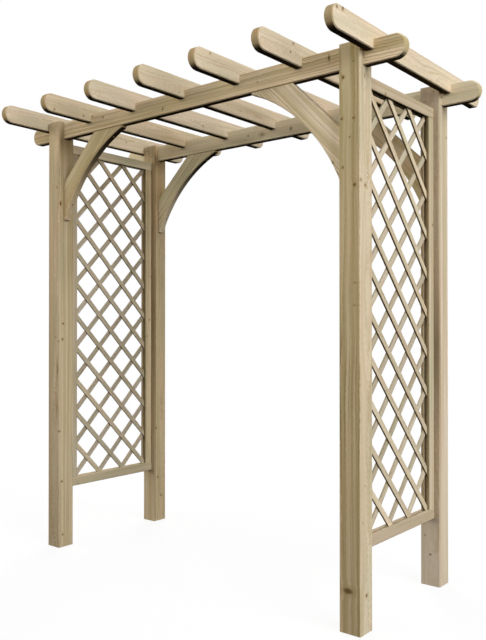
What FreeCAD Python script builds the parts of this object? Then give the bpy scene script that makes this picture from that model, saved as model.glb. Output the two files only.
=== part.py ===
import FreeCAD, Part
import math
import os

# Arched garden trellis: a timber walk-through arch with lattice sides.
# Four posts carry two beams in slots, seven rafters lap over the beams, four
# curved braces round the two portals into arches, and a framed lattice panel
# closes each side between a front and a back post.
# Millimetres. X runs along the beams, Y through the panels from front to back,
# Z up. The origin is on the ground, midway between the four posts.

# Posts
post_side = 95.0
post_height = 2335.0
post_pitch_x = 1882.0
post_pitch_y = 722.0
post_arris = 4.0
post_top_ease = 2.0

# Beams, one on each pair of posts, flush with the post tops
beam_thickness = 38.0
beam_height = 95.0
beam_overhang = 181.5
beam_slot_play = 0.4

# Rafters, let down over both beams
rafter_count = 7
rafter_thickness = 38.0
rafter_height = 95.0
rafter_overhang = 271.5
rafter_stand_off = 8.0
lap_depth = 42.5
lap_in_beam = 20.0
lap_play = 0.4

# Eased edges of beams, rafters and braces
board_ease = 4.0

# Braces between a post and a beam, with a hollow inner edge, a little longer along the beam
brace_thickness = 38.0
brace_leg_on_beam = 250.0
brace_leg_on_post = 240.0
brace_reach_on_beam = 470.0
brace_reach_on_post = 446.0
brace_tip_on_beam = 9.5
brace_tip_on_post = 14.5
brace_arc_radius = 800.0

# Side panels: a grooved frame round two crossed layers of laths
panel_ground_gap = 315.0
panel_head_gap = 12.0
bar_width = 50.0
bar_thickness = 40.0
bar_ease = 2.5
groove_depth = 12.0
groove_play = 0.4
tongue_end_play = 0.4
lath_width = 25.0
lath_thickness = 8.0
lath_end_play = 0.5
cells_across = 3
cells_up = 10

# Countersunk screws: shank and head diameters, and how far each bites into the last piece.
# Fifty of them repeat, so each is drawn with a few flats instead of round walls.
heavy_shank = 6.0
heavy_head = 12.0
light_shank = 5.0
light_head = 9.0
screw_sides = 8
hole_play = 0.3
beam_screw_spread = 40.0
beam_screw_bite = 18.0
rafter_screw_bite = 45.0
brace_screw_setback = 81.0
brace_screw_bite = 45.0
brace_screw_sink = 2.0
panel_screw_count = 3
panel_screw_setback = 120.0
panel_screw_bite = 45.0
corner_screw_bite = 40.0

# Places worked out from the driving sizes
beam_bottom = post_height - beam_height
beam_length = post_pitch_x + post_side + 2 * beam_overhang
rafter_bottom = post_height - lap_depth
rafter_top = rafter_bottom + rafter_height
rafter_length = post_pitch_y + post_side + 2 * rafter_overhang
lap_seat = post_height - lap_in_beam
outer_rafter_x = (post_pitch_x + post_side + rafter_thickness) / 2 + rafter_stand_off
rafter_pitch = 2 * outer_rafter_x / (rafter_count - 1)
portal_x = (post_pitch_x - post_side) / 2
panel_width = post_pitch_y - post_side
panel_top = beam_bottom - panel_head_gap
panel_height = panel_top - panel_ground_gap
opening_width = panel_width - 2 * bar_width
opening_height = panel_height - 2 * bar_width
groove_width = 2 * lath_thickness + groove_play
cell_width = opening_width / cells_across
cell_height = opening_height / cells_up

SIDES = {"left": -1, "right": 1}
ENDS = {"front": -1, "back": 1}
UP = FreeCAD.Vector(0, 0, 1)


def vector(x, y, z):
    return FreeCAD.Vector(x, y, z)


def block(low, high):
    """A box between two opposite corners."""
    size = high.sub(low)
    return Part.makeBox(size.x, size.y, size.z, low)


def centred_block(centre, size):
    half = size * 0.5
    return block(centre.sub(half), centre.add(half))


def turned_to(shape, direction, point):
    """A shape made along +Z from the origin, turned to a direction and moved to a point."""
    shape.Placement = FreeCAD.Placement(point, FreeCAD.Rotation(UP, direction))
    return shape


def edges_along(shape, axis):
    """Straight edges parallel to an axis."""
    found = []
    for edge in shape.Edges:
        if isinstance(edge.Curve, Part.Line) and abs(edge.tangentAt(edge.FirstParameter).dot(axis)) > 0.999:
            found.append(edge)
    return found


def face_edges(shape, normals):
    """Edges round the flat faces that look along the given normals."""
    found = []
    for face in shape.Faces:
        flat = isinstance(face.Surface, Part.Plane)
        if flat and any(face.normalAt(0, 0).dot(normal) > 0.999 for normal in normals):
            found.extend(face.Edges)
    return found


def slab(outline, thickness):
    """A wire in the XZ plane thickened evenly both ways along Y, with its outer edges eased."""
    face = Part.Face(outline)
    solid = face.extrude(vector(0, thickness, 0))
    solid.translate(vector(0, -thickness / 2, 0))
    rims = face_edges(solid, (vector(0, 1, 0), vector(0, -1, 0)))
    return solid.makeChamfer(board_ease, rims)


def round_ended_board(length, height, thickness):
    """A board along X whose ends are half circles, centred on the origin."""
    radius = height / 2
    straight = length / 2 - radius
    corners = [vector(x * straight, 0, z * radius) for x, z in ((-1, -1), (1, -1), (1, 1), (-1, 1))]
    right_end = Part.Arc(corners[1], vector(length / 2, 0, 0), corners[2])
    left_end = Part.Arc(corners[3], vector(-length / 2, 0, 0), corners[0])
    outline = Part.Wire([
        Part.LineSegment(corners[0], corners[1]).toShape(),
        right_end.toShape(),
        Part.LineSegment(corners[2], corners[3]).toShape(),
        left_end.toShape(),
    ])
    return slab(outline, thickness)


def flat_sided(profile):
    """A solid along +Z with flat sides, from rings of (radius, height)."""
    rings = []
    for radius, height in profile:
        turns = [2 * math.pi * index / screw_sides for index in range(screw_sides)]
        rings.append([vector(radius * math.cos(turn), radius * math.sin(turn), height) for turn in turns])
    outlines = [rings[0], rings[-1]]
    for lower, upper in zip(rings, rings[1:]):
        for index in range(screw_sides):
            outlines.append([lower[index - 1], lower[index], upper[index], upper[index - 1]])
    faces = [Part.Face(Part.makePolygon(outline + outline[:1])) for outline in outlines]
    solid = Part.Solid(Part.Shell(faces))
    if solid.Volume < 0:
        solid.reverse()
    return solid


def countersunk(place, gap=0.0):
    """A countersunk screw with its head flush at its point, or, with a gap, the hole for it."""
    radius = place["shank"] / 2 + gap
    head_radius = place["head"] / 2 + gap
    depth = place["length"] + gap
    solid = flat_sided(((head_radius, 0), (radius, head_radius - radius), (radius, depth)))
    return turned_to(solid, place["direction"], place["point"])


def drilled(solid, places):
    """The solid with the holes of those screws that reach into it."""
    holes = []
    for place in places:
        hole = countersunk(place, hole_play)
        if hole.BoundBox.intersect(solid.BoundBox):
            holes.append(hole)
            holes.extend(place.get("pockets", []))
    return solid.cut(holes) if holes else solid


def screw(point, direction, length, shank, head, pockets=()):
    """Where a screw's head lies, which way it points, its sizes and any pocket cut above its head."""
    return {
        "point": point,
        "direction": direction,
        "length": length,
        "shank": shank,
        "head": head,
        "pockets": list(pockets),
    }


def rafter_places():
    first = -outer_rafter_x
    return [first + index * rafter_pitch for index in range(rafter_count)]


def beam_y(end):
    return end * post_pitch_y / 2


def post_x(side):
    return side * post_pitch_x / 2


def brace_arc():
    """The hollow edge of a brace as points (along the beam, 0, down the post): ends, middle and centre."""
    beam_tip = vector(brace_reach_on_beam, 0, brace_tip_on_beam)
    post_tip = vector(brace_tip_on_post, 0, brace_reach_on_post)
    chord = post_tip.sub(beam_tip)
    outward = vector(chord.z, 0, -chord.x) * (1 / chord.Length)
    stand_off = math.sqrt(brace_arc_radius ** 2 - chord.Length ** 2 / 4)
    centre = (beam_tip + post_tip) * 0.5 + outward * stand_off
    return beam_tip, centre - outward * brace_arc_radius, post_tip, centre


def sunk_seat(reach, centre_along, centre_across):
    """A screw in the hollow edge: how far along it enters, how deep its head lies and its pocket's length."""
    def depth(along):
        return centre_across - math.sqrt(brace_arc_radius ** 2 - (centre_along - along) ** 2)

    along = reach - brace_screw_setback
    radius = light_head / 2 + hole_play
    seat = depth(along + radius) - brace_screw_sink
    return along, seat, depth(along - radius) - seat + brace_screw_sink


def beam_screws():
    """Two screws at each post, from the cheek that faces the other portal, through the beam."""
    cheek = (post_side - beam_thickness) / 2
    length = cheek + beam_thickness + beam_screw_bite
    step = beam_screw_spread / 2
    middle = beam_bottom + beam_height / 2
    places = []
    for side in SIDES.values():
        for end in ENDS.values():
            face_y = beam_y(end) - end * post_side / 2
            for slant in (-1, 1):
                point = vector(post_x(side) + side * slant * step, face_y, middle + slant * step)
                places.append(screw(point, vector(0, end, 0), length, light_shank, light_head))
    return places


def rafter_screws():
    """One screw down through each rafter into each beam."""
    length = rafter_top - lap_seat + rafter_screw_bite
    places = []
    for x in rafter_places():
        for end in ENDS.values():
            point = vector(x, beam_y(end), rafter_top)
            places.append(screw(point, vector(0, 0, -1), length, heavy_shank, heavy_head))
    return places


def brace_screws():
    """Two sunk screws in each brace, one up into the beam and one out into the post."""
    beam_tip, middle, post_tip, centre = brace_arc()
    along, up_seat, up_pocket = sunk_seat(beam_tip.x, centre.x, centre.z)
    down, out_seat, out_pocket = sunk_seat(post_tip.z, centre.z, centre.x)
    radius = light_head / 2 + hole_play
    places = []
    for side in SIDES.values():
        for end in ENDS.values():
            up_point = vector(side * (portal_x - along), beam_y(end), beam_bottom - up_seat)
            out_point = vector(side * (portal_x - out_seat), beam_y(end), beam_bottom - down)
            ways = (
                (up_point, vector(0, 0, 1), up_seat, up_pocket),
                (out_point, vector(side, 0, 0), out_seat, out_pocket),
            )
            for point, direction, seat, pocket_length in ways:
                pocket = flat_sided(((radius, 0), (radius, pocket_length)))
                pocket = turned_to(pocket, direction * -1, point)
                length = seat + brace_screw_bite
                places.append(screw(point, direction, length, light_shank, light_head, [pocket]))
    return places


def panel_screws():
    """A row of screws through each stile into its post, on the stile's land beside the groove."""
    length = bar_width + panel_screw_bite
    land = (bar_thickness + groove_width) / 4
    lowest = panel_ground_gap + bar_width + panel_screw_setback
    highest = panel_top - bar_width - panel_screw_setback
    step = (highest - lowest) / (panel_screw_count - 1)
    places = []
    for side in SIDES.values():
        for end in ENDS.values():
            for index in range(panel_screw_count):
                point = vector(post_x(side) - side * land, end * opening_width / 2, lowest + index * step)
                places.append(screw(point, vector(0, end, 0), length, light_shank, light_head))
    return places


def corner_screws():
    """One screw through each rail end into the end of its stile."""
    length = bar_width + corner_screw_bite
    tongue_y = (opening_width + groove_depth + bar_width) / 2
    places = []
    for side in SIDES.values():
        for end in ENDS.values():
            for edge_z, direction in ((panel_top, -1), (panel_ground_gap, 1)):
                point = vector(post_x(side), end * tongue_y, edge_z)
                places.append(screw(point, vector(0, 0, direction), length, light_shank, light_head))
    return places


def post(side, end, places):
    """A square post with rounded long edges and a slot across its head for the beam."""
    half = post_side / 2
    x = post_x(side)
    y = beam_y(end)
    solid = block(vector(x - half, y - half, 0), vector(x + half, y + half, post_height))
    solid = solid.makeFillet(post_arris, edges_along(solid, UP))
    solid = solid.makeChamfer(post_top_ease, face_edges(solid, (UP,)))
    slot_half = (beam_thickness + beam_slot_play) / 2
    slot = block(
        vector(x - post_side, y - slot_half, beam_bottom),
        vector(x + post_side, y + slot_half, post_height),
    )
    return drilled(solid.cut(slot), places)


def beam(end, places):
    """A round-ended beam, notched from above for each rafter."""
    solid = round_ended_board(beam_length, beam_height, beam_thickness)
    solid.translate(vector(0, beam_y(end), beam_bottom + beam_height / 2))
    notch_size = vector(rafter_thickness + lap_play, 2 * beam_thickness, 2 * lap_in_beam)
    notches = [centred_block(vector(x, beam_y(end), post_height), notch_size) for x in rafter_places()]
    return drilled(solid.cut(notches), places)


def rafter(x, places):
    """A round-ended rafter, notched from below for both beams."""
    solid = round_ended_board(rafter_length, rafter_height, rafter_thickness)
    solid.rotate(vector(0, 0, 0), UP, 90)
    solid.translate(vector(x, 0, rafter_bottom + rafter_height / 2))
    notch_size = vector(2 * rafter_thickness, beam_thickness + lap_play, 2 * (lap_depth - lap_in_beam))
    notches = [centred_block(vector(x, beam_y(end), rafter_bottom), notch_size) for end in ENDS.values()]
    return drilled(solid.cut(notches), places)


def brace(side, end, places):
    """A brace set across the corner of post and beam, straight behind and hollowed in front."""
    def corner(along, down):
        return vector(side * (portal_x - along), 0, beam_bottom - down)

    beam_tip, middle, post_tip, centre = brace_arc()
    hollow = Part.Arc(*[corner(point.x, point.z) for point in (beam_tip, middle, post_tip)])
    corners = [
        corner(post_tip.x, post_tip.z),
        corner(0, post_tip.z),
        corner(0, brace_leg_on_post),
        corner(brace_leg_on_beam, 0),
        corner(beam_tip.x, 0),
        corner(beam_tip.x, beam_tip.z),
    ]
    straights = [Part.LineSegment(first, second).toShape() for first, second in zip(corners, corners[1:])]
    outline = Part.Wire(straights + [hollow.toShape()])
    solid = slab(outline, brace_thickness)
    solid.translate(vector(0, beam_y(end), 0))
    return drilled(solid, places)


def bar(low, high, axis):
    """A straight frame bar with its four long edges eased."""
    solid = block(low, high)
    return solid.makeChamfer(bar_ease, edges_along(solid, axis))


def panel_rail(side, high, places):
    """A rail as long as the panel is wide, grooved along the edge that faces the laths."""
    x = post_x(side)
    half = bar_thickness / 2
    bottom = panel_top - bar_width if high else panel_ground_gap
    solid = bar(
        vector(x - half, -panel_width / 2, bottom),
        vector(x + half, panel_width / 2, bottom + bar_width),
        vector(0, 1, 0),
    )
    inner_edge = bottom if high else bottom + bar_width
    groove = centred_block(
        vector(x, 0, inner_edge), vector(groove_width, 2 * panel_width, 2 * groove_depth)
    )
    return drilled(solid.cut(groove), places)


def panel_stile(side, end, places):
    """A stile between the rails, grooved for the laths, with a tongue at each end in the rail's groove."""
    x = post_x(side)
    half = bar_thickness / 2
    inner_y = end * opening_width / 2
    outer_y = end * panel_width / 2
    low_z = panel_ground_gap + bar_width
    high_z = panel_top - bar_width
    solid = bar(
        vector(x - half, min(inner_y, outer_y), low_z),
        vector(x + half, max(inner_y, outer_y), high_z),
        UP,
    )
    groove = centred_block(
        vector(x, inner_y, (low_z + high_z) / 2), vector(groove_width, 2 * groove_depth, opening_height)
    )
    tongue_width = bar_width - groove_depth - bar_ease
    tongue = centred_block(
        vector(x, outer_y - end * (bar_ease + tongue_width / 2), (low_z + high_z) / 2),
        vector(2 * lath_thickness, tongue_width, opening_height + 2 * (groove_depth - tongue_end_play)),
    )
    return drilled(solid.cut(groove).fuse(tongue).removeSplitter(), places)


def panel_laths(side, rise):
    """One layer of slanting laths, cut to fit inside the frame's groove. Rise is 1 or -1 along Y."""
    x = post_x(side)
    low_z = panel_ground_gap + bar_width
    reach = groove_depth - lath_end_play
    layer_x = x if rise < 0 else x - lath_thickness
    window = block(
        vector(layer_x, -opening_width / 2 - reach, low_z - reach),
        vector(layer_x + lath_thickness, opening_width / 2 + reach, low_z + opening_height + reach),
    )
    slope = math.degrees(math.atan2(cell_height, cell_width))
    strip_length = 4 * opening_width
    laths = []
    for index in range(1 - cells_across, cells_up):
        strip = centred_block(vector(0, 0, 0), vector(2 * lath_thickness, strip_length, lath_width))
        strip.rotate(vector(0, 0, 0), vector(1, 0, 0), rise * slope)
        strip.translate(vector(x, -rise * opening_width / 2, low_z + index * cell_height))
        laths.append(strip.common(window))
    return Part.makeCompound([lath.Solids[0] for lath in laths])


def main():
    os.makedirs("parts", exist_ok=True)
    screws = {
        "beam_screws": beam_screws(),
        "rafter_screws": rafter_screws(),
        "brace_screws": brace_screws(),
        "panel_screws": panel_screws(),
        "corner_screws": corner_screws(),
    }
    nodes = {}
    for side_name, side in SIDES.items():
        for end_name, end in ENDS.items():
            corner = end_name + "_" + side_name
            post_holes = screws["beam_screws"] + screws["brace_screws"] + screws["panel_screws"]
            nodes["post_" + corner] = post(side, end, post_holes)
            nodes["brace_" + corner] = brace(side, end, screws["brace_screws"])
            stile_holes = screws["panel_screws"] + screws["corner_screws"]
            nodes[side_name + "_panel_stile_" + end_name] = panel_stile(side, end, stile_holes)
        nodes[side_name + "_panel_rail_top"] = panel_rail(side, True, screws["corner_screws"])
        nodes[side_name + "_panel_rail_bottom"] = panel_rail(side, False, screws["corner_screws"])
        nodes[side_name + "_panel_laths_rising"] = panel_laths(side, 1)
        nodes[side_name + "_panel_laths_falling"] = panel_laths(side, -1)
    for end_name, end in ENDS.items():
        beam_holes = screws["beam_screws"] + screws["rafter_screws"] + screws["brace_screws"]
        nodes["beam_" + end_name] = beam(end, beam_holes)
    for index, x in enumerate(rafter_places()):
        nodes["rafter_" + str(index + 1)] = rafter(x, screws["rafter_screws"])
    for name, places in screws.items():
        nodes[name] = Part.makeCompound([countersunk(place) for place in places])
    for name, shape in nodes.items():
        shape.exportStep("parts/" + name + ".step")
        print(name, len(shape.Solids), "solids", round(shape.Volume / 1000), "cm3", shape.isValid())


main()
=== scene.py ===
import math
import random
from dataclasses import dataclass

import bmesh
import bpy
from mathutils import Matrix, Vector


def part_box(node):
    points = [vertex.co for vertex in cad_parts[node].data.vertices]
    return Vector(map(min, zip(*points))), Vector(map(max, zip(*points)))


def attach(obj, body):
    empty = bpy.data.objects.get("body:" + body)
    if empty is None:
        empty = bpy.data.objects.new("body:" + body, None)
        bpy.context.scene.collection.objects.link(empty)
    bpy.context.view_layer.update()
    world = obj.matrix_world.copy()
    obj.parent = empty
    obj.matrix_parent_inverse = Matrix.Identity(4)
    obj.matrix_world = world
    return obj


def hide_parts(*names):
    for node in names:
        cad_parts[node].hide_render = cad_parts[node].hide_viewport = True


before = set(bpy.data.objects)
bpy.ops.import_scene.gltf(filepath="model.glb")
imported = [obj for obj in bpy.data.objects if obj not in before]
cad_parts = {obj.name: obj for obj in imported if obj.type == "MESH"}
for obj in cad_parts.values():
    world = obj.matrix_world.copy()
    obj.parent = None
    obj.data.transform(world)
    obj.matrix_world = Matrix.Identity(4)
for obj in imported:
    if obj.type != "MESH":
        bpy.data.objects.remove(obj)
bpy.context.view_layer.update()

# The arch in its own frame: metres, X along the beams, Y through the walkway, Z up
X = Vector((1, 0, 0))
Y = Vector((0, 1, 0))
Z = Vector((0, 0, 1))

# Camera of the photograph: metres, degrees, and millimetres for its lens and sensor
camera_place = (2.49475, -2.9855, 1.2148)
camera_turn = 39.094
camera_rise = 0.405
camera_lens = 42.553
sensor_side = 36.0

# Lattice panels
cells_across = 3
cells_up = 10


@dataclass
class Lamp:
    """A softbox: its place, its level at the arch, its colour, and the width and height of its sheet."""
    place: Vector
    level: float
    tint: tuple
    size: tuple


# Light: a big soft key and a low lamp from the right, a wide warmer fill from the front left, a lamp from
# behind, and a faint cool sky. At a level of 1 a colour looks as it is written.
LAMPS = {
    "key": Lamp(Vector((13.5, -2.5, 8.0)), 0.64, (1.0, 0.99, 0.98), (11.0, 6.0)),
    "fill": Lamp(Vector((-8.0, -12.0, 4.6)), 0.8, (1.0, 0.95, 0.84), (28.0, 6.0)),
    "side": Lamp(Vector((12.0, -2.0, 2.3)), 0.38, (1.0, 0.99, 0.98), (9.0, 3.5)),
    "back_fill": Lamp(Vector((-5.0, 6.0, 3.7)), 0.75, (1.0, 0.97, 0.92), (4.5, 1.8)),
}
light_target = Vector((0, 0, 1.2))
sky_level = 0.28
sky_colour = (0.86, 0.97, 1.1)
horizon_blur = 0.1

# Floor: mostly glowing white, with a shadow that fades out between two distances from the arch's middle
WHITE = (1.0, 1.0, 1.0, 1.0)
BLACK = (0.0, 0.0, 0.0, 1.0)
floor_half = 60.0
floor_glow = 0.90
shadow_inside = 1.6
shadow_outside = 4.5


def colour(red, green, blue):
    """A screen colour, 0 to 255, as the linear values that shaders take."""
    linear = []
    for part in (red, green, blue):
        share = part / 255
        linear.append(share / 12.92 if share <= 0.04045 else ((share + 0.055) / 1.055) ** 2.4)
    return (*linear, 1.0)


# Softwood and screw colours, as they look in plain light
CREAM = colour(216, 200, 172)
TAN = colour(188, 165, 128)
OLIVE = colour(166, 149, 102)
BROWN = colour(168, 138, 100)
PINK = colour(214, 184, 156)
GREEN = colour(186, 180, 146)
LINE = colour(122, 98, 60)
# Knot colours, which the streaks of painted shade use as well
KNOT_CORE_AND_PAINTED_SHADE = colour(98, 74, 44)
KNOT_HALO_AND_PAINTED_SHADE = colour(164, 138, 96)
END_GREY = colour(168, 152, 112)
END_BROWN = colour(178, 136, 86)
END_PALE = colour(184, 171, 134)
END_YELLOW = colour(174, 157, 114)
# Painted shade for faces that look down, on boards and on the lower edges of laths
BOARD_PAINTED_SHADE = colour(32, 24, 16)
LATH_PAINTED_SHADE = colour(92, 70, 36)
COAT_DARK = colour(112, 96, 62)
COAT_LIGHT = colour(152, 134, 92)


@dataclass
class ToneAndPaintedLight:
    """A piece's tint, partly its own tone and partly painted light and shade, the strength of its coloured
    bands, a further tint of its quarter-sawn faces, which paints them lighter or darker than the others,
    how much paler its front and back get in each metre along the grain and at the head, which is painted
    light, and the two colours of its end grain."""
    tint: tuple
    figure: float
    quartered: tuple = (1.0, 1.0, 1.0)
    paler: float = 0.0
    head: float = 0.0
    ends: tuple = (END_GREY, END_BROWN)


# A piece takes the first entry whose name is part of its own: its own entry, or else that of its kind. The
# tints are partly the wood's own tone and partly painted light and shade.
TONES_AND_PAINTED_LIGHT = {
    # Posts: their tints and the further tints of their quarter-sawn faces paint fronts and sides lighter or
    # darker as light falls on them. The front posts are painted lighter towards the top and darker towards
    # the foot, and the left one has a painted pale head.
    "post_front_right": ToneAndPaintedLight((1.0, 1.0, 1.02), 0.8, (0.88, 0.84, 0.74), 0.13),
    "post_front_left": ToneAndPaintedLight((0.86, 0.83, 0.8), 0.6, (1.19, 1.23, 1.21), 0.19, 0.3),
    "post_back_left": ToneAndPaintedLight((1.05, 0.99, 0.87), 0.6, (1.23, 1.33, 1.55)),
    "post_back_right": ToneAndPaintedLight((1.1, 1.15, 1.35), 0.5, (0.92, 0.9, 0.82)),
    # Beams: lifted as painted light where they lie in the shade of the rafters. The front one is also
    # painted paler towards its right end and darker towards its left.
    "beam_front": ToneAndPaintedLight((1.43, 1.41, 1.41), 0.8, paler=0.06, ends=(END_PALE, END_YELLOW)),
    "beam_back": ToneAndPaintedLight((1.45, 1.54, 1.63), 0.35, ends=(END_PALE, END_YELLOW)),
    "rafter_2": ToneAndPaintedLight((1.04, 1.01, 1.01), 0.5),
    # Braces: the front right and back left ones are lifted as painted light where they lie in shade.
    "brace_front_right": ToneAndPaintedLight((1.36, 1.36, 1.48), 0.9),
    "brace_back_left": ToneAndPaintedLight((1.4, 1.5, 1.55), 0.45),
    # The left panel's back stile: its front and back faces are darkened as painted shade, and its sides are
    # lifted as painted light.
    "left_panel_stile_back": ToneAndPaintedLight((0.4, 0.36, 0.3), 0.5, (3.0, 3.3, 3.8)),
    # The left panel's top rail is lifted as painted light where it lies in shade.
    "left_panel_rail_top": ToneAndPaintedLight((1.52, 1.7, 1.88), 0.2),
    "left_panel_rail_bottom": ToneAndPaintedLight((1.0, 1.0, 0.98), 0.3),
    "rafter": ToneAndPaintedLight((1.09, 1.1, 1.16), 0.5),
    "brace": ToneAndPaintedLight((1.09, 1.05, 0.97), 0.45),
    "_rail_": ToneAndPaintedLight((0.82, 0.81, 0.83), 0.3),
    # All other stiles: their front and back faces are darkened as painted shade.
    "_stile_": ToneAndPaintedLight((0.5, 0.46, 0.38), 0.5, (1.85, 2.09, 2.65)),
    # The rising laths lie behind the falling ones and are darker, a painted shade.
    "_laths_falling": ToneAndPaintedLight((0.93, 0.95, 0.96), 0.4),
    "_laths_rising": ToneAndPaintedLight((0.84, 0.87, 0.93), 0.4),
}


@dataclass
class Pattern:
    """Smooth noise: how often it changes in a metre along the grain and across it, a start that sets it
    apart from the others, and the two levels that it fades in between."""
    along: float
    across: float
    start: float
    low: float
    high: float


@dataclass
class Rings:
    """Rings round the pith: how many in a metre, how much they waver, a start that sets them apart, and
    the shares of a ring at which it begins to darken, is darkest and begins to pale."""
    per_metre: float
    waver: float
    start: float
    rise: float
    crest: float
    fall: float


@dataclass
class Underside:
    """Painted shade on faces that look down: its colour, its strength, and how far down a face looks, as a
    share, where the shade begins and where it is full."""
    painted_shade: tuple
    strength: float
    begins: float
    full: float


# Layers of colour in the wood. Clouds lie along the grain. Bands follow the growth rings, and flat-sawn
# faces show only a share of them.
CLOUDS = (
    (PINK, 0.3, Pattern(2.4, 14.0, 21.0, 0.46, 0.68)),
    (GREEN, 0.5, Pattern(1.7, 11.0, 57.0, 0.48, 0.7)),
)
BANDS = (
    (BROWN, 0.7, Pattern(0.8, 120.0, 8.0, 0.52, 0.68)),
    (OLIVE, 0.75, Pattern(0.5, 75.0, 3.0, 0.42, 0.6)),
)
flat_sawn_figure = 0.4

# Tan late wood and dark lines: their rings, where they are strong, and how strong
GROWTH_RINGS = Rings(230.0, 3.0, 0.0, 0.25, 0.9, 0.92)
LATE_WOOD = Pattern(1.5, 25.0, 33.0, 0.4, 0.62)
late_strength = (0.3, 0.75)
LINE_RINGS = Rings(90.0, 5.0, 7.0, 0.5, 0.88, 0.88)
LINED = Pattern(1.1, 9.0, 71.0, 0.42, 0.6)
line_strength = 0.6

# End grain: its stain, its strengths, and how far a face looks along the grain where it begins and is full
END_STAIN = Pattern(30.0, 30.0, 5.0, 0.46, 0.6)
stain_strength = 0.7
end_ring_strength = 0.45
end_strength = 0.8
end_facing = (0.3, 0.75)

# Tones: the height above the middle at which a painted paler head begins and is full, and how single laths
# differ
head_span = (0.9, 1.12)
lath_tones = (0.88, 1.12)
lath_seeds = 40.0
# Painted shade on faces that look down: on boards, and on the lower edges of laths
BOARD_UNDERSIDE = Underside(BOARD_PAINTED_SHADE, 0.95, 0.5, 0.9)
LATH_UNDERSIDE = Underside(LATH_PAINTED_SHADE, 0.85, 0.4, 0.7)

# Fibres and relief of the surface. A noise is given by its changes in a metre, along the grain and across.
fibre_noise = (6.0, 520.0)
fibre_tones = (0.88, 1.12)
wood_roughness = (0.55, 0.75)
ring_relief = 0.4
relief_strength = 0.35
relief_height = 0.0006

# How far the rings stray from circles: in a ragged edge, in a slow sway and round knots
ragged_noise = (60.0, 60.0)
ragged_edge = Vector((0.008, 0.006, 0.006))
sway_noise = (1.3, 6.0)
ring_sway = Vector((0.0, 0.03, 0.03))
knot_push = 0.004

# Knots: distances from the middle, in radii of the knot, at which a layer is full and has faded out, and
# one that stands for no knot at all
knot_bulge = (0.0, 4.0)
halo_span = (0.8, 2.4)
halo_strength = 0.5
core_span = (0.5, 1.2)
core_strength = 0.85
no_knot = 9.0

# Knots and soft darker streaks that the photograph shows. Each has a place along the face and a height, in
# metres, a radius, how faint it is and, if it isn't round, how flat: above 1 it is shorter along the
# grain than across, and below 1 longer.
post_knot_depth = 0.012
board_knot_depth = 0.05
# Many of the wide streaks below are painted shade.
FRONT_KNOTS_AND_PAINTED_SHADE = {
    "post_front_right": (
        (0.913, 2.200, 0.007, 0.1), (0.905, 2.035, 0.006, 0.0), (0.960, 2.031, 0.006, 0.1),
        (0.944, 1.958, 0.005, 0.2), (0.911, 1.841, 0.005, 0.1), (0.965, 1.767, 0.009, 0.1),
        (0.960, 2.255, 0.006, 0.4), (0.933, 0.169, 0.029, 0.15, 1.9),
        (0.967, 1.382, 0.014, 0.55, 3.5), (0.966, 1.293, 0.015, 0.55, 4.5),
    ),
    "post_front_left": (
        (-0.902, 1.127, 0.006, 0.2), (-0.925, 1.149, 0.006, 0.3), (-0.915, 1.973, 0.007, 0.2),
        (-0.910, 0.975, 0.009, 0.5, 0.12), (-0.913, 0.760, 0.007, 0.6, 0.1),
        # Painted shade: the first streak on this line, a dark stripe down the left edge of the front.
        (-0.986, 1.200, 0.030, 1.0, 0.01), (-0.947, 1.400, 0.010, 1.2, 0.01),
    ),
    "post_back_left": (
        # Painted shade: the wide streak at the end of this line darkens the front beside the panel.
        (-0.954, 2.045, 0.007, 0.1), (-0.954, 1.847, 0.007, 0.3), (-0.906, 1.200, 0.300, 0.77, 0.09),
    ),
    "post_back_right": (
        # Painted shade: the wide streak at the end of this line darkens the front beside the panel.
        (0.942, 0.145, 0.006, 0.1), (0.914, 0.231, 0.006, 0.3), (0.974, 1.100, 0.300, 0.80, 0.18),
    ),
    "beam_front": (
        (0.829, 2.303, 0.012, 0.1, 2.0), (-0.655, 2.325, 0.006, 0.2), (-0.567, 2.305, 0.006, 0.3),
        # Painted shade: a darker middle and a darker left end of the front.
        (-0.050, 2.290, 0.400, 1.5, 0.6), (-1.110, 2.285, 0.150, 1.05, 0.9),
    ),
    "beam_back": (
        (0.124, 2.278, 0.010, 0.3, 1.3), (-0.073, 2.277, 0.012, 0.6, 0.6), (-0.760, 2.285, 0.080, 1.05, 0.4),
    ),
}
SIDE_KNOTS_AND_PAINTED_SHADE = {
    "post_front_right": (
        (-0.400, 1.784, 0.006, 0.1), (-0.367, 1.768, 0.006, 0.1), (-0.370, 2.201, 0.006, 0.5),
        (-0.359, 0.149, 0.007, 0.0), (-0.369, 0.581, 0.004, 0.4), (-0.385, 0.439, 0.004, 0.4),
    ),
    "post_front_left": (
        (-0.383, 1.224, 0.006, 0.1), (-0.387, 1.138, 0.006, 0.1), (-0.400, 1.883, 0.006, 0.0, 0.5),
        (-0.405, 0.635, 0.006, 0.2), (-0.390, 0.359, 0.006, 0.1), (-0.384, 0.068, 0.006, 0.2),
        # Painted shade: this wide streak darkens the head of the side under the beam.
        (-0.360, 2.200, 0.120, 1.05),
    ),
    "post_back_left": ((0.327, 0.577, 0.006, 0.1), (0.345, 0.270, 0.006, 0.1), (0.371, 0.153, 0.006, 0.1)),
    "post_back_right": ((0.392, 2.102, 0.006, 0.2),),
    "rafter_2": ((0.200, 2.325, 0.035, 1.05, 0.12),),
    "rafter_3": ((0.126, 2.321, 0.007, 0.3),),
    "rafter_4": ((0.120, 2.335, 0.035, 1.1, 0.12),),
    "rafter_6": ((-0.463, 2.335, 0.006, 0.3), (-0.443, 2.375, 0.007, 0.3)),
    "rafter_7": ((-0.649, 2.371, 0.007, 0.1), (-0.608, 2.378, 0.008, 0.1)),
}

# More knots, by chance, through boards and on the hidden sides of posts: metres of timber for each, how far
# from the middle they lie, as a share of the length and in metres to the side, and their ranges
chance_spacing = 0.6
chance_along = 0.46
chance_aside = 0.035
chance_radius = (0.004, 0.007)
chance_faint = (0.1, 0.5)

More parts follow.
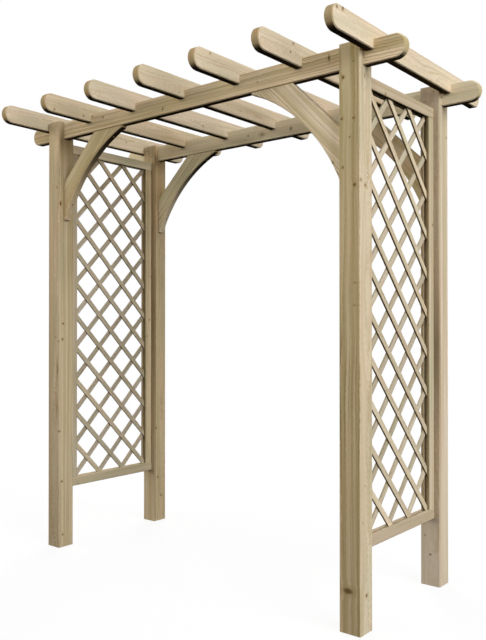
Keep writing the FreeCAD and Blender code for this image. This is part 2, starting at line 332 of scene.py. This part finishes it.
# Logs: how far the pith lay from the middle of a piece, the range of seeds, and posts with flat-sawn fronts
pith_distance = (0.07, 0.1)
seed_range = 50
FLAT_SAWN_FRONTS = ("post_front_left", "post_back_right")

# Screws: the flats of the plain ones and the distance at which two of their corners are one, then the round
# ones, in shares of the head's radius, of the shank's for the widths of the point, or of the length
plain_flats = 8
same_corner = 0.00001
screw_rounding = 24
head_fit = 0.955
rim_share = 0.08
shank_share = 0.52
point_start = 0.9
point_width = 0.9
tip_width = 0.15
recess_length = 0.62
recess_width = 0.17
recess_depth = 0.42
recess_taper = 0.6
coat_speck = 900.0
coat_roughness = (0.35, 0.65)


class Shader:
    """A short way to write a node tree: each call adds a node and gives back its output."""

    def __init__(self, tree):
        self.tree = tree
        tree.nodes.clear()

    def node(self, kind, inputs=(), **settings):
        made = self.tree.nodes.new(kind)
        for name, value in settings.items():
            setattr(made, name, value)
        for key, value in dict(inputs).items():
            self.feed(made.inputs[key], value)
        return made

    def feed(self, socket, value):
        if isinstance(value, bpy.types.NodeSocket):
            self.tree.links.new(value, socket)
        else:
            socket.default_value = value

    def math(self, operation, *values):
        return self.node("ShaderNodeMath", enumerate(values), operation=operation).outputs[0]

    def vector(self, operation, *values):
        made = self.node("ShaderNodeVectorMath", enumerate(values), operation=operation)
        return made.outputs["Value" if operation in ("DOT_PRODUCT", "LENGTH") else "Vector"]

    def scaled(self, vector, factor):
        return self.node("ShaderNodeVectorMath", {0: vector, "Scale": factor}, operation="SCALE").outputs[0]

    def combine(self, x, y, z):
        return self.node("ShaderNodeCombineXYZ", {0: x, 1: y, 2: z}).outputs[0]

    def noise(self, place, detail=2.0, roughness=0.5, output="Fac"):
        inputs = {"Vector": place, "Scale": 1.0, "Detail": detail, "Roughness": roughness}
        return self.node("ShaderNodeTexNoise", inputs).outputs[output]

    def band(self, value, low, high):
        """0 below low, 1 above high, smooth between."""
        inputs = {"Value": value, "From Min": low, "From Max": high}
        return self.node("ShaderNodeMapRange", inputs, interpolation_type="SMOOTHSTEP").outputs[0]

    def fade(self, value, low, high):
        """1 below low, 0 above high, smooth between."""
        return self.math("SUBTRACT", 1.0, self.band(value, low, high))

    def between(self, share, first, last):
        """The first value where share is 0, the last where it is 1."""
        return self.math("MULTIPLY_ADD", share, last - first, first)

    def mix(self, factor, first, second, blend="MIX"):
        inputs = {0: factor, 6: first, 7: second}
        return self.node("ShaderNodeMix", inputs, data_type="RGBA", blend_type=blend).outputs[2]

    def over(self, base, amount, strength, layer):
        """A layer of colour over the base, where there is an amount of it."""
        return self.mix(self.math("MULTIPLY", amount, strength), base, layer)

    def seen(self):
        """1 for what the eye sees straight, in a mirror or through glass, 0 for light on its way."""
        path = self.node("ShaderNodeLightPath").outputs
        mirrored = self.math("MAXIMUM", path["Is Glossy Ray"], path["Is Transmission Ray"])
        return self.math("MAXIMUM", path["Is Camera Ray"], mirrored)


def new_material(name):
    material = bpy.data.materials.new(name)
    material.use_nodes = True
    return material


@dataclass
class Cut:
    """How a piece was cut from its log: the way of the grain, the way to the pith and a point on it."""
    grain: Vector
    toward: Vector
    pith: Vector
    seed: float
    tone_and_light: ToneAndPaintedLight
    lath_pitch: float = 0.0

    @property
    def across(self):
        return self.grain.cross(self.toward)

    def in_log(self, way):
        """The parts of a vector along the grain, toward the pith and across."""
        return Vector((way.dot(self.grain), way.dot(self.toward), way.dot(self.across)))


@dataclass
class KnotOrPaintedShade:
    """A branch that comes out at a place of the surface, along an axis square to the grain. It goes only
    so deep, and a wide and faint one is a soft darker streak, which often stands for painted shade."""
    place: Vector
    axis: Vector
    depth: float
    radius: float
    faint: float
    flat: float = 1.0


class Wood(Shader):
    """Treated softwood, drawn by where each point lay in the log that its piece was cut from."""

    def __init__(self, tree, cut, knots):
        super().__init__(tree)
        self.cut = cut
        self.normal = self.node("ShaderNodeNewGeometry").outputs["Normal"]
        self.flat_sawn = self.facing(cut.toward)
        out = self.vector("SUBTRACT", self.node("ShaderNodeTexCoord").outputs["Object"], cut.pith)
        self.along = self.vector("DOT_PRODUCT", out, cut.grain)
        self.deep = self.vector("DOT_PRODUCT", out, cut.toward)
        self.aside = self.vector("DOT_PRODUCT", out, cut.across)
        if cut.lath_pitch:
            chance = self.part_laths()
            seed = self.math("MULTIPLY_ADD", chance, lath_seeds, cut.seed)
            self.tone = self.between(chance, *lath_tones)
            self.underside = LATH_UNDERSIDE
        else:
            seed = cut.seed
            self.tone = self.painted_light_along()
            self.underside = BOARD_UNDERSIDE
        self.seeded = self.math("ADD", self.along, seed)
        self.fibre = self.noise(self.stretched(*fibre_noise), detail=3.0, roughness=0.6)
        self.find_rings(knots)

    def facing(self, way):
        """1 on the two faces square to a direction, 0 on those along it."""
        return self.math("ABSOLUTE", self.vector("DOT_PRODUCT", self.normal, way))

    def part_laths(self):
        """Measures each lath of a layer from its own middle, and gives back a chance value of its own."""
        pitch = self.cut.lath_pitch
        index = self.math("FLOOR", self.math("MULTIPLY_ADD", self.aside, 1 / pitch, 0.5))
        self.aside = self.math("MULTIPLY_ADD", index, -pitch, self.aside)
        return self.node("ShaderNodeTexWhiteNoise", {"W": index}, noise_dimensions="1D").outputs["Value"]

    def painted_light_along(self):
        """Painted light: how pale a piece is along its front and back, and at its head."""
        front = self.facing(Y)
        length = self.math("MULTIPLY", self.along, front)
        tone = self.math("MULTIPLY_ADD", length, self.cut.tone_and_light.paler, 1.0)
        head = self.math("MULTIPLY", self.band(self.along, *head_span), front)
        return self.math("MULTIPLY_ADD", head, self.cut.tone_and_light.head, tone)

    def stretched(self, along, across, start=0.0):
        """A place for noise that changes so often in a metre along the grain and across it."""
        return self.combine(
            self.math("MULTIPLY_ADD", self.seeded, along, start),
            self.math("MULTIPLY", self.deep, across),
            self.math("MULTIPLY", self.aside, across),
        )

    def cloud(self, pattern):
        """Where a pattern lies that is drawn out along the grain."""
        place = self.stretched(pattern.along, pattern.across, pattern.start)
        return self.band(self.noise(place), pattern.low, pattern.high)

    def ringed(self, pattern):
        """Where a pattern lies that follows the growth rings."""
        place = self.combine(
            self.math("MULTIPLY_ADD", self.seeded, pattern.along, pattern.start),
            self.math("MULTIPLY", self.radius, pattern.across),
            pattern.start,
        )
        return self.band(self.noise(place), pattern.low, pattern.high)

    def rings(self, kind):
        """The dark part of each ring."""
        waver = self.noise(self.combine(self.seeded, self.radius, kind.start))
        even = self.math("MULTIPLY", self.radius, kind.per_metre)
        share = self.math("FRACT", self.math("MULTIPLY_ADD", waver, kind.waver, even))
        dark = self.band(share, kind.rise, kind.crest)
        return self.math("MULTIPLY", dark, self.fade(share, kind.fall, 1.0))

    def nearest_knot(self, log, knots):
        """Distance to the nearest knot or streak, counted in its radii; some streaks are painted shade."""
        nearest = no_knot
        for knot in knots:
            axis = self.cut.in_log(knot.axis)
            offset = self.vector("SUBTRACT", log, self.cut.in_log(knot.place - self.cut.pith))
            offset = self.vector("MULTIPLY", offset, (knot.flat, 1.0, 1.0))
            away = self.vector("LENGTH", self.vector("CROSS_PRODUCT", offset, axis))
            depth = self.math("ABSOLUTE", self.vector("DOT_PRODUCT", offset, axis))
            near = self.math("MULTIPLY_ADD", away, 1 / knot.radius, knot.faint)
            too_deep = self.math("GREATER_THAN", depth, knot.depth)
            near = self.math("MULTIPLY_ADD", too_deep, no_knot, near)
            nearest = self.math("MINIMUM", near, nearest)
        return nearest

    def find_rings(self, knots):
        """Finds the nearest knot, the distance from the pith as the rings count it, and the late wood."""
        log = self.combine(self.along, self.deep, self.aside)
        ragged = self.noise(self.stretched(*ragged_noise), output="Color")
        log = self.vector("MULTIPLY_ADD", ragged, ragged_edge, log)
        log = self.vector("SUBTRACT", log, ragged_edge / 2)
        self.near_knot = self.nearest_knot(log, knots)
        sway = self.noise(self.stretched(*sway_noise), output="Color")
        log = self.vector("MULTIPLY_ADD", sway, ring_sway, log)
        radius = self.vector("LENGTH", self.vector("MULTIPLY", log, (0.0, 1.0, 1.0)))
        bulge = self.fade(self.near_knot, *knot_bulge)
        self.radius = self.math("MULTIPLY_ADD", bulge, -knot_push, radius)
        self.late = self.rings(GROWTH_RINGS)

    def bare(self):
        """Cream wood with tan rings, clouds and bands of other colours, and dark lines."""
        late = self.math("MULTIPLY", self.late, self.between(self.cloud(LATE_WOOD), *late_strength))
        base = self.mix(late, CREAM, TAN)
        for tint, strength, pattern in CLOUDS:
            base = self.over(base, self.cloud(pattern), strength, tint)
        figure = self.cut.tone_and_light.figure
        stripe = self.between(self.flat_sawn, figure, figure * flat_sawn_figure)
        for tint, strength, pattern in BANDS:
            base = self.over(base, self.math("MULTIPLY", self.ringed(pattern), stripe), strength, tint)
        lined = self.math("MULTIPLY", self.cloud(LINED), stripe)
        return self.over(base, self.math("MULTIPLY", lined, self.rings(LINE_RINGS)), line_strength, LINE)

    def tinted(self, base):
        # Tints, partly the piece's own tone and partly painted light and shade, on the whole piece and on
        # its quarter-sawn faces.
        tint = Vector(self.cut.tone_and_light.tint)
        quartered = tint * Vector(self.cut.tone_and_light.quartered)
        tints = self.mix(self.flat_sawn, (*quartered, 1.0), (*tint, 1.0))
        return self.mix(1.0, base, tints, "MULTIPLY")

    def with_ends(self, base):
        pale, dark = self.cut.tone_and_light.ends
        end_wood = self.over(pale, self.cloud(END_STAIN), stain_strength, dark)
        end_wood = self.over(end_wood, self.late, end_ring_strength, dark)
        end = self.band(self.facing(self.cut.grain), *end_facing)
        return self.over(base, end, end_strength, end_wood)

    def with_knots_and_painted_shade(self, base):
        # Knots, and streaks of painted shade, darken the wood in a halo and a core.
        base = self.over(base, self.fade(self.near_knot, *halo_span), halo_strength, KNOT_HALO_AND_PAINTED_SHADE)
        return self.over(base, self.fade(self.near_knot, *core_span), core_strength, KNOT_CORE_AND_PAINTED_SHADE)

    def toned_and_shaded(self, base):
        """The tone of fibres and of the piece, on boards partly painted light, and painted shade on faces
        that look down.
        """
        shade = self.math("MULTIPLY", self.between(self.fibre, *fibre_tones), self.tone)
        downward = self.vector("DOT_PRODUCT", self.normal, -Z)
        underside_shade = self.band(downward, self.underside.begins, self.underside.full)
        return self.over(self.scaled(base, shade), underside_shade, self.underside.strength, self.underside.painted_shade)

    def paint(self):
        """Sets the surface of the material."""
        base = self.toned_and_shaded(self.with_knots_and_painted_shade(self.with_ends(self.tinted(self.bare()))))
        relief = self.node("ShaderNodeBump", {
            "Strength": relief_strength,
            "Distance": relief_height,
            "Height": self.math("MULTIPLY_ADD", self.late, ring_relief, self.fibre),
        })
        surface = self.node("ShaderNodeBsdfPrincipled", {
            "Base Color": base,
            "Roughness": self.between(self.fibre, *wood_roughness),
            "Normal": relief.outputs[0],
            "Specular IOR Level": 0.0,
        })
        self.node("ShaderNodeOutputMaterial", {"Surface": surface.outputs[0]})


def lattice_sizes():
    """Angle of the laths, their spacing and the lower front corner of a panel's opening."""
    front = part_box("right_panel_stile_front")[1].y
    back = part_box("right_panel_stile_back")[0].y
    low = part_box("right_panel_rail_bottom")[1].z
    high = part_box("right_panel_rail_top")[0].z
    cell_height = (high - low) / cells_up
    slope = math.atan2(cell_height, (back - front) / cells_across)
    return slope, cell_height * math.cos(slope), Vector((0, front, low))


def cut_of(node, chance):
    """The grain of a piece, and where its log's pith lay. A layer of laths counts from the corner of the
    opening that one of its laths runs into."""
    low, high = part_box(node)
    middle = (low + high) / 2
    away = chance.uniform(*pith_distance)
    lath_pitch = 0.0
    if node.startswith("post"):
        grain, toward = Z, Y if node in FLAT_SAWN_FRONTS else -X
    elif node.startswith("beam"):
        grain, toward = X, Z * chance.choice((-1, 1))
    elif node.startswith("rafter"):
        grain, toward = Y, X * chance.choice((-1, 1))
    elif node.startswith("brace"):
        grain = ((Z - X) if node.endswith("right") else (Z + X)).normalized()
        toward = grain.cross(Y)
    elif "_rail_" in node:
        grain, toward = Y, Z * chance.choice((-1, 1))
    elif "_stile_" in node:
        grain, toward = Z, Y * chance.choice((-1, 1))
    else:
        slope, lath_pitch, corner = lattice_sizes()
        rise = 1 if node.endswith("rising") else -1
        grain, toward = Vector((0, math.cos(slope), rise * math.sin(slope))), X
        middle = Vector((middle.x, rise * corner.y, corner.z))
    tone_and_light = next(TONES_AND_PAINTED_LIGHT[name] for name in TONES_AND_PAINTED_LIGHT if name in node)
    return Cut(grain, toward, middle + toward * away, chance.uniform(0, seed_range), tone_and_light, lath_pitch)


def knots_and_shade_of(node, cut, chance):
    """The knots and streaks that the photograph shows on a piece, some streaks painted shade, and a few more
    knots by chance.
    """
    low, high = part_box(node)
    depth = post_knot_depth if node.startswith("post") else board_knot_depth
    knots = [KnotOrPaintedShade(Vector((x, low.y, z)), Y, depth, *looks) for x, z, *looks in FRONT_KNOTS_AND_PAINTED_SHADE.get(node, ())]
    knots += [KnotOrPaintedShade(Vector((high.x, y, z)), X, depth, *looks) for y, z, *looks in SIDE_KNOTS_AND_PAINTED_SHADE.get(node, ())]
    if cut.lath_pitch:
        return knots
    axis = Y if node.startswith(("beam", "brace")) else X
    side = cut.grain.cross(axis)
    length = (high - low).dot(Vector([abs(part) for part in cut.grain]))
    for _ in range(round(length / chance_spacing)):
        place = (low + high) / 2 + cut.grain * length * chance.uniform(-chance_along, chance_along)
        place += side * chance.uniform(-chance_aside, chance_aside)
        if node.startswith("post"):
            place.x = low.x
        knots.append(KnotOrPaintedShade(place, axis, depth, chance.uniform(*chance_radius), chance.uniform(*chance_faint)))
    return knots


def timber():
    """Gives every piece of timber a material of its own."""
    for node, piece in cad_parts.items():
        if node.endswith("_screws"):
            continue
        chance = random.Random(node)
        cut = cut_of(node, chance)
        material = new_material(node + "_wood")
        Wood(material.node_tree, cut, knots_and_shade_of(node, cut, chance)).paint()
        piece.data.materials.clear()
        piece.data.materials.append(material)


def steel():
    """Screw steel with a dull, speckled brown coat."""
    material = new_material("coated_steel")
    s = Shader(material.node_tree)
    place = s.node("ShaderNodeTexCoord").outputs["Object"]
    speck = s.noise(s.scaled(place, coat_speck), detail=3.0)
    surface = s.node("ShaderNodeBsdfPrincipled", {
        "Base Color": s.mix(speck, COAT_DARK, COAT_LIGHT),
        "Metallic": 1.0,
        "Roughness": s.between(speck, *coat_roughness),
    })
    s.node("ShaderNodeOutputMaterial", {"Surface": surface.outputs[0]})
    return material


def screw_places(node):
    """Each screw of a node: the middle of its head, the way it points, its length and its head's radius."""
    whole = bmesh.new()
    whole.from_mesh(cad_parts[node].data)
    bmesh.ops.remove_doubles(whole, verts=whole.verts, dist=same_corner)
    counted = set()
    places = []
    for start in whole.verts:
        if start in counted:
            continue
        counted.add(start)
        points = []
        edge = [start]
        while edge:
            vertex = edge.pop()
            points.append(vertex.co.copy())
            linked = {link.other_vert(vertex) for link in vertex.link_edges} - counted
            counted |= linked
            edge += linked
        sizes = [max(p[i] for p in points) - min(p[i] for p in points) for i in range(3)]
        axis = sizes.index(max(sizes))
        points.sort(key=lambda point: (point[axis], *point))
        ends = []
        for ring in (points[:plain_flats], points[-plain_flats:]):
            middle = sum(ring, Vector()) / len(ring)
            ends.append(((ring[0] - middle).length, middle))
        (_, tip), (head_radius, head) = sorted(ends, key=lambda found: found[0])
        places.append((head, (tip - head).normalized(), max(sizes), head_radius))
    whole.free()
    return places


def add_screw(target, head, direction, length, head_radius):
    """A countersunk screw with a cross recess, along direction from the middle of its head."""
    turn = Z.rotation_difference(direction).to_matrix().to_4x4()
    move = Matrix.Translation(head) @ turn
    radius = head_radius * head_fit
    shank = head_radius * shank_share

    def ring(size, depth):
        angles = [2 * math.pi * step / screw_rounding for step in range(screw_rounding)]
        points = [Vector((size * math.cos(angle), size * math.sin(angle), depth)) for angle in angles]
        return [target.verts.new(move @ point) for point in points]

    rings = [ring(radius, 0.0), ring(radius, radius * rim_share), ring(shank, radius - shank)]
    rings += [ring(shank * point_width, length * point_start), ring(shank * tip_width, length)]
    for upper, lower in zip(rings, rings[1:]):
        for step in range(screw_rounding):
            target.faces.new((upper[step - 1], upper[step], lower[step], lower[step - 1]))
    target.faces.new(rings[-1])

    def cross(share, depth):
        wide = radius * recess_width * share
        long = radius * recess_length * share
        corners = []
        for quarter in range(4):
            spin = Matrix.Rotation(quarter * math.pi / 2, 3, "Z")
            for x, y in ((long, -wide), (long, wide), (wide, wide)):
                corners.append(target.verts.new(move @ (spin @ Vector((x, y, 0)) + Z * depth)))
        return corners

    mouth = cross(1.0, 0.0)
    floor = cross(recess_taper, radius * recess_depth)
    for step in range(len(mouth)):
        target.faces.new((mouth[step - 1], mouth[step], floor[step], floor[step - 1]))
    target.faces.new(floor)
    rim = []
    for loop in (rings[0], mouth):
        rim += [target.edges.get((loop[step - 1], loop[step])) for step in range(len(loop))]
    bmesh.ops.triangle_fill(target, edges=rim, use_beauty=True)


def screws():
    """Round screws with cross recesses in place of the plain ones."""
    material = steel()
    for node in [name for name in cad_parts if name.endswith("_screws")]:
        target = bmesh.new()
        for head, direction, length, head_radius in screw_places(node):
            add_screw(target, head, direction, length, head_radius)
        bmesh.ops.recalc_face_normals(target, faces=target.faces)
        mesh = bpy.data.meshes.new(node + "_round")
        target.to_mesh(mesh)
        target.free()
        mesh.materials.append(material)
        piece = bpy.data.objects.new(node + "_round", mesh)
        bpy.context.scene.collection.objects.link(piece)
        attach(piece, "root")
        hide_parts(node)


def make_floor():
    """A wide floor that looks white and takes a faint shadow, and throws no light back up."""
    mesh = bpy.data.meshes.new("floor")
    corners = [(x * floor_half, y * floor_half, 0.0) for x, y in ((-1, -1), (1, -1), (1, 1), (-1, 1))]
    mesh.from_pydata(corners, [], [(0, 1, 2, 3)])
    floor = bpy.data.objects.new("floor", mesh)
    bpy.context.scene.collection.objects.link(floor)
    material = new_material("floor_white")
    s = Shader(material.node_tree)
    glow = s.node("ShaderNodeEmission", {"Color": WHITE, "Strength": 1.0}).outputs[0]
    lit = s.node("ShaderNodeBsdfDiffuse", {"Color": WHITE}).outputs[0]
    dark = s.node("ShaderNodeBsdfDiffuse", {"Color": BLACK}).outputs[0]
    reach = s.vector("LENGTH", s.node("ShaderNodeTexCoord").outputs["Object"])
    plain = s.between(s.band(reach, shadow_inside, shadow_outside), floor_glow, 1.0)
    shown = s.node("ShaderNodeMixShader", {0: plain, 1: lit, 2: glow}).outputs[0]
    surface = s.node("ShaderNodeMixShader", {0: s.seen(), 1: dark, 2: shown}).outputs[0]
    s.node("ShaderNodeOutputMaterial", {"Surface": surface})
    mesh.materials.append(material)


def make_world():
    """White to the eye. As light, an even soft sky that is empty below the horizon."""
    world = bpy.data.worlds.new("studio")
    bpy.context.scene.world = world
    world.use_nodes = True
    s = Shader(world.node_tree)
    rise = s.vector("DOT_PRODUCT", s.node("ShaderNodeTexCoord").outputs["Generated"], Z)
    light = s.math("MULTIPLY", s.band(rise, 0.0, horizon_blur), sky_level)
    soft = s.node("ShaderNodeBackground", {"Color": (*sky_colour, 1), "Strength": light}).outputs[0]
    white = s.node("ShaderNodeBackground", {"Color": WHITE, "Strength": 1.0}).outputs[0]
    both = s.node("ShaderNodeMixShader", {0: s.seen(), 1: soft, 2: white}).outputs[0]
    s.node("ShaderNodeOutputWorld", {"Surface": both})


def make_lamp(name, lamp):
    """A softbox that gives its level to a surface square to it at the middle of the arch."""
    toward = light_target - lamp.place
    data = bpy.data.lights.new(name, "AREA")
    data.shape = "RECTANGLE"
    data.size, data.size_y = lamp.size
    data.energy = lamp.level * math.pi ** 2 * toward.length_squared
    data.color = lamp.tint
    softbox = bpy.data.objects.new(name, data)
    softbox.location = lamp.place
    softbox.rotation_euler = toward.to_track_quat("-Z", "Y").to_euler()
    softbox.visible_camera = False
    bpy.context.scene.collection.objects.link(softbox)


def make_camera():
    """The photograph's camera. The taller side of the picture takes up the whole sensor."""
    data = bpy.data.cameras.new("camera")
    data.sensor_width = sensor_side
    data.lens = camera_lens
    camera = bpy.data.objects.new("camera", data)
    camera.location = camera_place
    camera.rotation_euler = (math.radians(90 + camera_rise), 0, math.radians(camera_turn))
    bpy.context.scene.collection.objects.link(camera)
    bpy.context.scene.camera = camera


timber()
screws()
make_floor()
make_world()
for lamp_name, lamp in LAMPS.items():
    make_lamp(lamp_name, lamp)
make_camera()
bpy.context.scene.view_settings.view_transform = "Standard"
